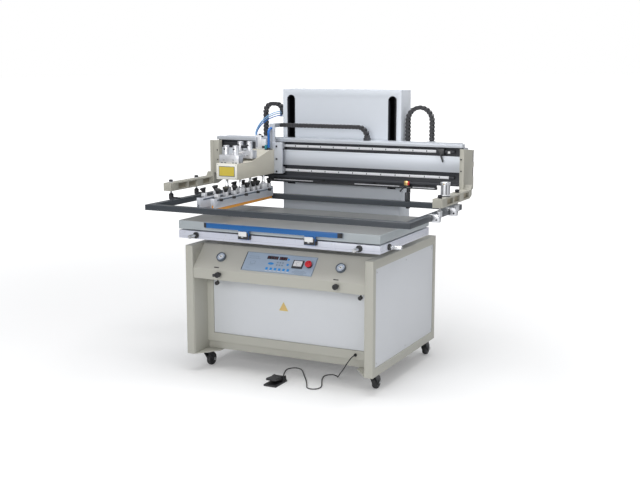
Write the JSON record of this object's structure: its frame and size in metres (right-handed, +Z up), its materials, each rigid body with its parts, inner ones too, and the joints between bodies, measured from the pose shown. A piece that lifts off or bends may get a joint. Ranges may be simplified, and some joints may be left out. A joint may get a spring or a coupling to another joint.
{
  "type": "flatbed screen printing machine",
  "caption": "Flatbed screen printing machine: printing table on a wheeled base cabinet, a beam that lifts on a column, a screen frame on arms, a travelling squeegee head and a foot pedal.",
  "frame": {"origin": "on the floor under the middle of the machine's box, measured without the cord and hoses", "axes": "+X to the operator's right along the beam, +Y from the operator towards the column, +Z up"},
  "size_m": [1.686, 1.0276, 1.547],
  "materials": {
    "cream_paint": "satin powder coat",
    "white_panel": "satin",
    "column_paint": "satin",
    "slate_frame": "satin",
    "blue_paint": "gloss",
    "black_steel": "satin",
    "aluminium": "brushed anodised",
    "polished_steel": "ground",
    "table_sheet": "brushed stainless",
    "membrane": "matte film",
    "stop_red": "gloss",
    "black_plastic": "matte",
    "blade_rubber": "matte",
    "wheel_rubber": "matte",
    "hose": "gloss",
    "cord": "matte"
  },
  "bodies": {
    "base": {"left_side_frame": "cream_paint", "right_side_frame": "cream_paint", "left_side_panel": "white_panel", "right_side_panel": "white_panel", "console": "cream_paint", "recess_frame": "cream_paint", "recess_panel": "white_panel", "rear_wall": "cream_paint", "control_panel": "membrane", "left_gauge": "polished_steel", "right_gauge": "polished_steel", "emergency_stop": "stop_red", "left_regulator": "black_plastic", "right_regulator": "black_plastic", "column": "column_paint", "guide_rods": "polished_steel", "table_band": "aluminium", "safety_bar": "blue_paint", "cord_gland": "black_plastic", "pedal_cord": "cord", "pedal_base": "black_steel", "left_lift_chain": "black_plastic", "right_lift_chain": "black_plastic", "air_hose": "hose"},
    "cross_slide": {"cross_slide": "polished_steel"},
    "table": {"table_top": "table_sheet"},
    "front_left_register": {"front_left_knob": "polished_steel"},
    "front_right_register": {"front_right_knob": "polished_steel"},
    "side_register": {"right_side_knob": "polished_steel"},
    "beam": {"beam": "aluminium", "upper_rail": "polished_steel", "lower_rail": "polished_steel", "cable_trough": "black_plastic", "left_end_casting": "cream_paint", "right_end_casting": "cream_paint", "left_front_clamp": "black_steel", "left_rear_clamp": "black_steel", "right_front_clamp": "black_steel", "right_rear_clamp": "black_steel", "screen_frame": "slate_frame", "frame_hanger": "black_steel", "stroke_stop": "black_steel", "arm_cylinder": "aluminium", "carriage_chain": "black_plastic"},
    "carriage": {"carriage_plate": "aluminium", "head_housing": "cream_paint", "print_cylinders": "aluminium", "head_hose": "hose"},
    "squeegee": {"squeegee_holder": "aluminium", "squeegee_blade": "blade_rubber"},
    "flood": {"flood_bar": "aluminium"},
    "front_left_caster": {"front_left_fork": "polished_steel"},
    "front_right_caster": {"front_right_fork": "polished_steel"},
    "rear_left_caster": {"rear_left_fork": "polished_steel"},
    "rear_right_caster": {"rear_right_fork": "polished_steel"},
    "front_left_roller": {"front_left_wheel": "wheel_rubber"},
    "front_right_roller": {"front_right_wheel": "wheel_rubber"},
    "rear_left_roller": {"rear_left_wheel": "wheel_rubber"},
    "rear_right_roller": {"rear_right_wheel": "wheel_rubber"},
    "treadle": {"pedal_treadle": "black_steel"}
  },
  "joints": [
    {"name": "beam_lift", "type": "slide", "parent": "base", "child": "beam", "axis": [0, 0, 1], "range_m": [-0.035, 0.25], "deforming": ["left_lift_chain", "right_lift_chain", "air_hose"]},
    {"name": "carriage_travel", "type": "slide", "parent": "beam", "child": "carriage", "axis": [1, 0, 0], "range_m": [0, 0.852], "deforming": ["carriage_chain"]},
    {"name": "squeegee_lift", "type": "slide", "parent": "carriage", "child": "squeegee", "axis": [0, 0, 1], "range_m": [-0.015, 0.01]},
    {"name": "flood_lift", "type": "slide", "parent": "carriage", "child": "flood", "axis": [0, 0, 1], "range_m": [-0.015, 0.01]},
    {"name": "table_shift_x", "type": "slide", "parent": "base", "child": "cross_slide", "axis": [1, 0, 0], "range_m": [-0.008, 0.008]},
    {"name": "table_shift_y", "type": "slide", "parent": "cross_slide", "child": "table", "axis": [0, 1, 0], "range_m": [-0.008, 0.008]},
    {"name": "front_left_register_turn", "type": "hinge", "parent": "base", "child": "front_left_register", "pos_m": [-0.485, -0.45, 0.776], "axis": [0, -1, 0], "continuous": true},
    {"name": "front_right_register_turn", "type": "hinge", "parent": "base", "child": "front_right_register", "pos_m": [0.485, -0.45, 0.776], "axis": [0, -1, 0], "continuous": true},
    {"name": "side_register_turn", "type": "hinge", "parent": "base", "child": "side_register", "pos_m": [0.61, -0.33415, 0.776], "axis": [1, 0, 0], "continuous": true},
    {"name": "front_left_swivel", "type": "hinge", "parent": "base", "child": "front_left_caster", "pos_m": [-0.51, -0.31115, 0.1], "axis": [0, 0, 1], "continuous": true},
    {"name": "front_right_swivel", "type": "hinge", "parent": "base", "child": "front_right_caster", "pos_m": [0.51, -0.31115, 0.1], "axis": [0, 0, 1], "continuous": true},
    {"name": "rear_left_swivel", "type": "hinge", "parent": "base", "child": "rear_left_caster", "pos_m": [-0.51, 0.43285, 0.1], "axis": [0, 0, 1], "continuous": true},
    {"name": "rear_right_swivel", "type": "hinge", "parent": "base", "child": "rear_right_caster", "pos_m": [0.51, 0.43285, 0.1], "axis": [0, 0, 1], "continuous": true},
    {"name": "front_left_roll", "type": "hinge", "parent": "front_left_caster", "child": "front_left_roller", "pos_m": [-0.51, -0.26915, 0.0375], "axis": [1, 0, 0], "continuous": true},
    {"name": "front_right_roll", "type": "hinge", "parent": "front_right_caster", "child": "front_right_roller", "pos_m": [0.51, -0.26915, 0.0375], "axis": [1, 0, 0], "continuous": true},
    {"name": "rear_left_roll", "type": "hinge", "parent": "rear_left_caster", "child": "rear_left_roller", "pos_m": [-0.51, 0.47485, 0.0375], "axis": [1, 0, 0], "continuous": true},
    {"name": "rear_right_roll", "type": "hinge", "parent": "rear_right_caster", "child": "rear_right_roller", "pos_m": [0.51, 0.47485, 0.0375], "axis": [1, 0, 0], "continuous": true},
    {"name": "treadle_press", "type": "hinge", "parent": "base", "child": "treadle", "pos_m": [-0.0075, -0.39115, 0.026], "axis": [1, 0, 0], "range_deg": [0, 8], "stiffness_Nm_per_rad": 0.8, "springref_deg": -20.05}
  ]
}
